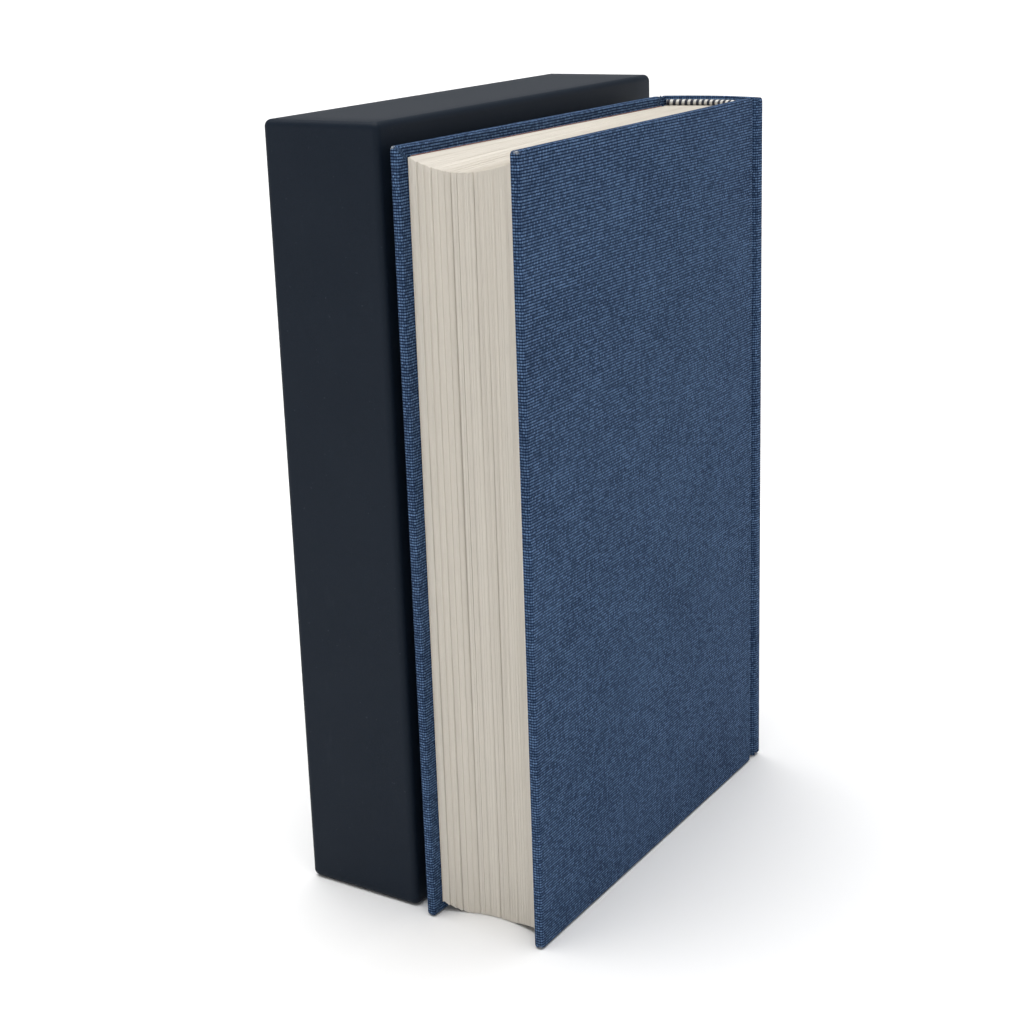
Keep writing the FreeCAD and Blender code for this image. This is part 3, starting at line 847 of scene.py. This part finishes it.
# Thickness over a shoulder and what the inlay adds, then the same for the roll at head and foot.
SHOULDER_THICK, INLAY_THICK = 0.65, 0.95
SHOULDER_ROLL, INLAY_ROLL = 1.3, 0.3
# How much shorter the cloth is at its edge, and how far from the edge that ends.
EDGE_SHORT, EDGE_RUN = 1.8, 2.1


class BOXEDBOOK_OT_spine(bpy.types.Operator):
    """Stretch the cloth over the rounded spine and roll it in at head and foot"""

    bl_idname = "boxedbook.spine"
    bl_label = "Spine cloth"

    def execute(self, context):
        look = context.scene.cloth_look
        path = self.spine_path()
        total = path[-1][1]
        turned_in = 12.0 * MM
        points, charts = [], []
        columns = len(path)
        section = self.section()
        for level, (kind, amount) in enumerate(section):
            for index, (place, travel) in enumerate(path):
                way = outward(path, index, 1)
                edge = min(travel, total - travel)
                body = min(max((edge - INLAY_FROM * MM) / (INLAY_RISE * MM), 0.0), 1.0)
                body = body * body * (3 - 2 * body)
                thick = (SHOULDER_THICK + INLAY_THICK * body) * MM
                roll = (SHOULDER_ROLL + INLAY_ROLL * body) * MM
                ease = EDGE_SHORT * MM * (1 - min(edge / (EDGE_RUN * MM), 1.0)) ** 2
                low = SPINE_LOW.z + ease
                high = SPINE_HIGH.z - ease
                depth, z, run = self.place_in_section(kind, amount, thick, roll, low, high, turned_in)
                spot = place - way * depth
                points.append(book_place(spot.x, spot.y, z))
                charts.append(((travel + JOINT_RUN) / MM, run / MM))
        faces = grid_faces(len(section), columns)
        item = make_piece("spine_cloth_sheet", points, faces, charts, "weave")
        material = cloth_finish(look, "spine_cloth")
        finished(item, material, "book_cloth", "spine_cloth", body="text_block")
        return {"FINISHED"}

    def spine_path(self):
        """From one joint over the shoulder, the rounded back and the other shoulder."""
        corner_x, corner_y = SPINE_CORNER
        reach = SPINE_REACH / MM
        back = []
        corner_step = 6.2
        for step in range(-6, 7):
            share = step / corner_step
            back.append((-share * corner_x, corner_y + (reach - corner_y) * (1 - share * share)))
        left = [(-x, y) for x, y in reversed(SHOULDER_PATH)]
        knots = list(SHOULDER_PATH) + back + left
        return spaced([(x * MM, y * MM) for x, y in knots], 0.5 * MM)

    def section(self):
        """Levels from the foot's turned-in edge, round its roll, up the back, and in at the head."""
        levels = [("foot_lap", 1.0), ("foot_lap", 0.5), ("foot_lap", 0.15)]
        levels += [("foot_roll", step / 8) for step in range(9)]
        levels += [("back", share) for share in (0.02, 0.2, 0.4, 0.6, 0.8, 0.98)]
        levels += [("head_roll", step / 8) for step in range(9)]
        levels += [("head_lap", 0.15), ("head_lap", 0.5), ("head_lap", 1.0)]
        return levels

    def place_in_section(self, kind, amount, thick, roll, low, high, turned_in):
        """Depth below the outer surface, height, and height unrolled for the weave."""
        if kind == "back":
            z = low + roll + amount * (high - low - 2 * roll)
            return 0.0, z, z
        if kind.endswith("lap"):
            far = roll + amount * (turned_in - roll)
            if kind == "head_lap":
                return thick, high - far, high + far
            return thick, low + far, low - far
        angle = math.pi * amount
        full = max(math.sin(angle), 0.0) ** 0.7
        if kind == "head_roll":
            depth = thick / 2 * (1 - math.cos(angle))
            z = high - roll + roll * full
            return depth, z, high - roll + amount * 2 * roll
        depth = thick / 2 * (1 + math.cos(angle))
        z = low + roll - roll * full
        return depth, z, low - roll + amount * 2 * roll


# --- pages ------------------------------------------------------------------------------------

# Gatherings after which the block stands open at the fore-edge, with the gap in millimetres.
OPEN_GAPS = {3: 0.22, 6: 0.48, 7: 0.16, 10: 0.42, 12: 0.40, 13: 0.18, 16: 0.22, 17: 0.16}
# Shares of a leaf's width between which the folds are hammered out towards the shoulders.
BACKED_FROM, BACKED_TO = 0.985, 0.996


class BOXEDBOOK_OT_pages(bpy.types.Operator):
    """Build every gathering with its leaf ends, the block's hollow fore-edge and its sag"""

    bl_idname = "boxedbook.pages"
    bl_label = "Gatherings"

    def execute(self, context):
        look = context.scene.pages_look
        material = pages_finish(look)
        luck = random.Random(4)
        count = len(GATHERINGS)
        waves = [[luck.uniform(0, 6.28) for _ in range(3)] for _ in range(count + 1)]
        gaps = [
            OPEN_GAPS.get(number, 0) * MM + look.gap * luck.uniform(0.4, 1.6)
            for number in range(count + 1)
        ]
        gaps[0] = gaps[count] = 0.0
        fore = self.fore_edges()
        for number, node in enumerate(GATHERINGS):
            item = self.gathering(look, number, node, luck, waves, gaps, fore)
            finished(item, material, "book_paper", node, body="text_block")
        return {"FINISHED"}

    def fore_edges(self):
        """Lowest and highest x of the block at its fore-edge, from the outer gatherings."""
        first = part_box(GATHERINGS[0])
        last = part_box(GATHERINGS[-1])
        return first[0].x - MIDDLE_X, last[1].x - MIDDLE_X

    def gathering(self, look, number, node, luck, waves, gaps, fore):
        low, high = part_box(node)
        count = len(GATHERINGS)
        leaves = look.leaves
        drift_reach = 0.10
        fold_bulge = 0.55 * MM
        fold_y = high.y - JOINT_Y
        fore_y = low.y - JOINT_Y
        lengthwise = (
            0.0, 0.012, 0.035, 0.07, 0.15, 0.3, 0.45,
            0.6, 0.74, 0.86, 0.94, BACKED_FROM, BACKED_TO, 1.0,
        )
        heights = [step / 12 for step in range(13)]
        across = [0.0]
        offsets = [(look.groove, look.groove)]
        for leaf in range(leaves):
            proud = luck.uniform(-0.07, 0.07) * MM
            lift = luck.uniform(-0.05, 0.05) * MM
            groove = look.groove * luck.uniform(0.4, 1.8)
            for share in (0.2, 0.8):
                across.append((leaf + share) / leaves)
                offsets.append((proud, lift))
            across.append((leaf + 1) / leaves)
            offsets.append((proud + groove, lift - groove * 0.5))

        def place(i, j, k):
            inner, share = lengthwise[i], across[j]
            whole = (number + share) / count
            spread = whole * 2 - 1
            stand = heights[k]
            flare = min(max((inner - BACKED_FROM) / (BACKED_TO - BACKED_FROM), 0.0), 1.0)
            x_fore = fore[0] + (fore[1] - fore[0]) * whole
            x_back = spread * BLOCK_HALF
            x = x_fore + (x_back - x_fore) * min(inner / BACKED_FROM, 1.0)
            x += spread * (FOLD_HALF - BLOCK_HALF) * flare
            open_share = (1 - inner) ** 1.5
            side = share * 2 - 1
            before = gaps[number] * (0.65 + 0.35 * math.sin(stand * 5 + waves[number][0]))
            after = gaps[number + 1] * (0.65 + 0.35 * math.sin(stand * 5 + waves[number + 1][0]))
            x += open_share * (before * (1 - share) - after * share) / 2
            drift = sum(
                math.sin(stand * (3.1 + 2.3 * turn) + wave) / (turn + 1.5)
                for turn, wave in enumerate(waves[number])
            )
            x += open_share * drift_reach * MM * drift * (1 - side * side * 0.5) * (1 - spread * spread)
            deeper = look.hollow * (1 - spread * spread)
            y_fore = fore_y + deeper
            y = y_fore + (fold_y - y_fore) * inner
            if i == 0:
                y += offsets[j][0]
            if i == len(lengthwise) - 1:
                y -= fold_bulge * side * side
            hang = spread + 0.25 * (1 - spread * spread)
            drop = look.sag * (1 - hang * hang) * (1 - inner) ** 1.3
            z = low.z + (high.z - low.z) * stand - drop
            if k == len(heights) - 1:
                z += offsets[j][1]
            if k == 0:
                z = max(z - offsets[j][1], 0.05 * MM)
            chart = (number * leaves + share * leaves, (z + y - y_fore) / MM)
            return book_place(x, y, z), chart

        sizes = (len(lengthwise), len(across), len(heights))
        points, charts, faces = block_hull(sizes, place)
        return make_piece(f"{node}_leaves", points, faces, charts, "leaves", sharp=60.0)


def block_hull(sizes, place):
    """The outer faces of a lattice of points: place gives the point and chart of each i, j, k."""
    ends = [size - 1 for size in sizes]
    numbers, points, charts, faces = {}, [], [], []

    def number(spot):
        if spot not in numbers:
            numbers[spot] = len(points)
            point, chart = place(*spot)
            points.append(point)
            charts.append(chart)
        return numbers[spot]

    for axis in range(3):
        first, second = [other for other in range(3) if other != axis]
        for end in (0, ends[axis]):
            for a in range(ends[first]):
                for b in range(ends[second]):
                    corners = []
                    for step_a, step_b in ((0, 0), (1, 0), (1, 1), (0, 1)):
                        spot = [0, 0, 0]
                        spot[axis], spot[first], spot[second] = end, a + step_a, b + step_b
                        corners.append(number(tuple(spot)))
                    faces.append(tuple(corners))
    return points, charts, faces


class BOXEDBOOK_OT_headbands(bpy.types.Operator):
    """Wind the striped headbands and lay their tapes down the spine"""

    bl_idname = "boxedbook.headbands"
    bl_label = "Headbands"

    def execute(self, context):
        look = context.scene.band_look
        material = silk_finish(look)
        for node, up in (("head_band", 1), ("foot_band", -1)):
            item = self.band(look, node, up)
            finished(item, material, "headband", node, body="text_block")
        return {"FINISHED"}

    def band(self, look, node, up):
        low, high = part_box(node)
        half = (high.x - low.x) / 2
        crown = high.y - JOINT_Y
        sweep = FOLD_ROUND * (half / FOLD_HALF) ** 2
        top = high.z if up > 0 else low.z
        tape_end = low.z if up > 0 else high.z
        bead_tall, bead_wide = 2.0 * MM, 2.5 * MM
        thick = 0.25 * MM
        turns = round(2 * half / (look.strand / 2))
        points, charts = [], []
        outline = self.outline(bead_wide, bead_tall, thick, abs(top - tape_end))
        middle = (bead_wide / 2, bead_tall / 2)
        for turn in range(turns + 1):
            share = turn / turns * 2 - 1
            x = share * half
            y = crown - sweep * share * share
            slope = math.atan(2 * sweep * share / half)
            rib = 0.06 if turn % 2 else -0.02
            run = 0.0
            last = outline[0]
            for depth, drop, ribbed in outline:
                run += math.hypot(depth - last[0], drop - last[1])
                last = (depth, drop, ribbed)
                swell = 1 + rib * ribbed
                deep = middle[0] + (depth - middle[0]) * swell if ribbed else depth
                down = middle[1] + (drop - middle[1]) * swell if ribbed else drop
                down = max(down, 0.0)
                deep = max(deep, 0.0)
                px = x - deep * math.sin(slope)
                py = y - deep * math.cos(slope)
                points.append(book_place(px, py, top - up * down))
                charts.append(((x + half) / MM, run / MM))
        columns = len(outline)
        faces = grid_faces(turns + 1, columns)
        for row in range(turns):
            a, b = row * columns, (row + 1) * columns
            faces.append((a + columns - 1, a, b, b + columns - 1))
        faces.append(tuple(range(columns)))
        faces.append(tuple(reversed(range(turns * columns, (turns + 1) * columns))))
        return make_piece(f"{node}_silk", points, faces, charts, "silk", sharp=70.0)

    def outline(self, wide, tall, thick, long):
        """Section of the bead with its tape: depth from the tape's face, drop from the bead's top."""
        points = [(0.0, long, 0.0), (0.0, tall * 1.3, 0.0)]
        for step in range(13):
            angle = math.radians(-20 + 290 * step / 12)
            depth = wide / 2 - math.cos(angle) * wide / 2
            drop = tall / 2 - math.sin(angle) * tall / 2
            points.append((depth, drop, 1.0))
        points += [(thick, tall * 1.3, 0.0), (thick, long, 0.0)]
        return points


# --- carried pieces ---------------------------------------------------------------------------


class BOXEDBOOK_OT_carried(bpy.types.Operator):
    """Finish the boards, papers, gauze, thread and side sheets that keep their own shape"""

    bl_idname = "boxedbook.carried"
    bl_label = "Boards, papers and thread"

    def execute(self, context):
        pages = context.scene.pages_look
        case = context.scene.case_look
        board = board_finish()
        lining = lining_finish("case_lining", (0.026, 0.030, 0.040), (0.012, 0.014, 0.020))
        kraft = lining_finish("spine_lining_paper", (0.46, 0.33, 0.20), (0.30, 0.21, 0.12))
        card = lining_finish("inlay_card", (0.50, 0.48, 0.43), (0.36, 0.34, 0.30))
        side_sheet = case_finish(case, "case_side_paper")
        plan = {
            "mull": gauze_finish(),
            "spine_lining": kraft,
            "spine_inlay": card,
            "sewing_thread": thread_finish(),
        }
        for wall in ("left", "right", "end", "bottom", "top"):
            plan[f"case_{wall}_board"] = board
            plan[f"case_{wall}_lining"] = lining
        for wall in ("left", "right"):
            plan[f"case_{wall}_side_paper"] = side_sheet
        for side, sign in SIDES.items():
            plan[f"{side}_board"] = board
            plan[f"{side}_pastedown"] = endpaper_finish(pages, -sign, f"{side}_pastedown_paper")
            plan[f"{side}_flyleaf"] = endpaper_finish(pages, sign, f"{side}_flyleaf_paper")
        for node, material in plan.items():
            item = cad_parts[node]
            item.data.materials.clear()
            item.data.materials.append(material)
        return {"FINISHED"}


# --- stage ------------------------------------------------------------------------------------


class BOXEDBOOK_OT_stage(bpy.types.Operator):
    """Lay the pale floor, hang the soft lights and set up the camera"""

    bl_idname = "boxedbook.stage"
    bl_label = "Floor, light and camera"

    def execute(self, context):
        look = context.scene.stage_look
        self.floor(look)
        self.surroundings(context.scene, look)
        self.overhead_light(look)
        self.softbox("side_light", (1.3, -0.7, 0.7), (0, 0, 0.12), 1.0, look.fill)
        self.camera(context.scene, look)
        return {"FINISHED"}

    def floor(self, look):
        radius = 14.0
        points = [Vector((0, 0, -0.2 * MM))]
        for step in range(72):
            angle = math.radians(5 * step)
            points.append(Vector((radius * math.cos(angle), radius * math.sin(angle), -0.2 * MM)))
        faces = [(0, step + 1, (step + 1) % 72 + 1) for step in range(72)]
        item = make_piece("studio_floor", points, faces)
        finish = Finish("studio_floor", {"Specular IOR Level": 0.1})
        x, y, z = finish.object_place()
        cloud = finish.noise(finish.join(x, y, z), scale=0.004, detail=2.0)
        shade = [channel * 0.97 for channel in look.floor]
        item.data.materials.append(finish.done(finish.mix(cloud, look.floor, shade), 0.9))

    def surroundings(self, scene, look):
        world = bpy.data.worlds.new("studio_air")
        world.use_nodes = True
        tree = world.node_tree
        way = tree.nodes.new("ShaderNodeTexCoord")
        split = tree.nodes.new("ShaderNodeSeparateXYZ")
        fade = tree.nodes.new("ShaderNodeMapRange")
        fade.interpolation_type = "SMOOTHSTEP"
        ramp = {"From Min": 0.05, "From Max": 0.35, "To Min": look.horizon, "To Max": look.sky}
        for socket, amount in ramp.items():
            fade.inputs[socket].default_value = amount
        tree.links.new(way.outputs["Generated"], split.inputs[0])
        tree.links.new(split.outputs["Z"], fade.inputs["Value"])
        tree.links.new(fade.outputs["Result"], tree.nodes["Background"].inputs["Strength"])
        tree.nodes["Background"].inputs["Color"].default_value = (1.0, 1.0, 1.0, 1.0)
        scene.world = world
        scene.view_settings.view_transform = "Standard"

    def overhead_light(self, look):
        lamp = bpy.data.lights.new("overhead_light", "SUN")
        lamp.energy = look.overhead
        lamp.angle = look.overhead_spread
        self.hang(lamp, Vector((0.10, -0.02, -1.0)))

    def softbox(self, name, place, target, size, power):
        lamp = bpy.data.lights.new(name, "AREA")
        lamp.shape = "SQUARE"
        lamp.size = size
        lamp.energy = power
        self.hang(lamp, Vector(target) - Vector(place), place)

    def hang(self, lamp, way, place=(0, 0, 0)):
        """Hangs a lamp at a place, shining along a way."""
        item = bpy.data.objects.new(lamp.name, lamp)
        item.location = place
        item.rotation_euler = way.to_track_quat("-Z", "Y").to_euler()
        bpy.context.scene.collection.objects.link(item)

    def camera(self, scene, look):
        yaw, pitch, roll = look.camera_turn
        ahead = Vector((math.sin(yaw) * math.cos(pitch), math.cos(yaw) * math.cos(pitch), math.sin(pitch)))
        right = ahead.cross(Vector((0, 0, 1))).normalized()
        up = right.cross(ahead)
        leaning_right = right * math.cos(roll) + up * math.sin(roll)
        leaning_up = up * math.cos(roll) - right * math.sin(roll)
        eye = bpy.data.cameras.new("camera")
        eye.lens = look.lens
        eye.sensor_width = 36.0
        eye.shift_x, eye.shift_y = look.shift
        eye.clip_start = 0.01
        eye.clip_end = 100.0
        item = bpy.data.objects.new("camera", eye)
        scene.collection.objects.link(item)
        turn = item.matrix_world.to_3x3()
        turn.col[0], turn.col[1], turn.col[2] = leaning_right, leaning_up, -ahead
        item.matrix_world = turn.to_4x4()
        item.location = look.camera_place
        scene.camera = item


# --- add-on -----------------------------------------------------------------------------------

LOOKS = {
    "case_look": CaseLook,
    "cloth_look": ClothLook,
    "pages_look": PagesLook,
    "band_look": BandLook,
    "stage_look": StageLook,
}
OPERATORS = (
    BOXEDBOOK_OT_slipcase,
    BOXEDBOOK_OT_covers,
    BOXEDBOOK_OT_joints,
    BOXEDBOOK_OT_spine,
    BOXEDBOOK_OT_pages,
    BOXEDBOOK_OT_headbands,
    BOXEDBOOK_OT_carried,
    BOXEDBOOK_OT_stage,
)


class BOXEDBOOK_PT_sidebar(bpy.types.Panel):
    """Lists the pieces and their sizes and colours"""

    bl_idname = "BOXEDBOOK_PT_sidebar"
    bl_label = "Boxed book"
    bl_space_type = "VIEW_3D"
    bl_region_type = "UI"
    bl_category = "Boxed book"

    def draw(self, context):
        for operator in OPERATORS:
            self.layout.operator(operator.bl_idname)
        for attribute, group in LOOKS.items():
            box = self.layout.box()
            box.label(text=group.__doc__)
            for field in group.__annotations__:
                box.prop(getattr(context.scene, attribute), field)


def register():
    for group in (*LOOKS.values(), *OPERATORS, BOXEDBOOK_PT_sidebar):
        bpy.utils.register_class(group)
    for attribute, group in LOOKS.items():
        setattr(bpy.types.Scene, attribute, PointerProperty(type=group))


def unregister():
    for attribute in LOOKS:
        delattr(bpy.types.Scene, attribute)
    for group in (BOXEDBOOK_PT_sidebar, *reversed(OPERATORS), *reversed(LOOKS.values())):
        bpy.utils.unregister_class(group)


def main():
    register()
    bpy.ops.boxedbook.slipcase()
    bpy.ops.boxedbook.covers()
    bpy.ops.boxedbook.joints()
    bpy.ops.boxedbook.spine()
    bpy.ops.boxedbook.pages()
    bpy.ops.boxedbook.headbands()
    bpy.ops.boxedbook.carried()
    bpy.ops.boxedbook.stage()


if __name__ == "__main__":
    main()
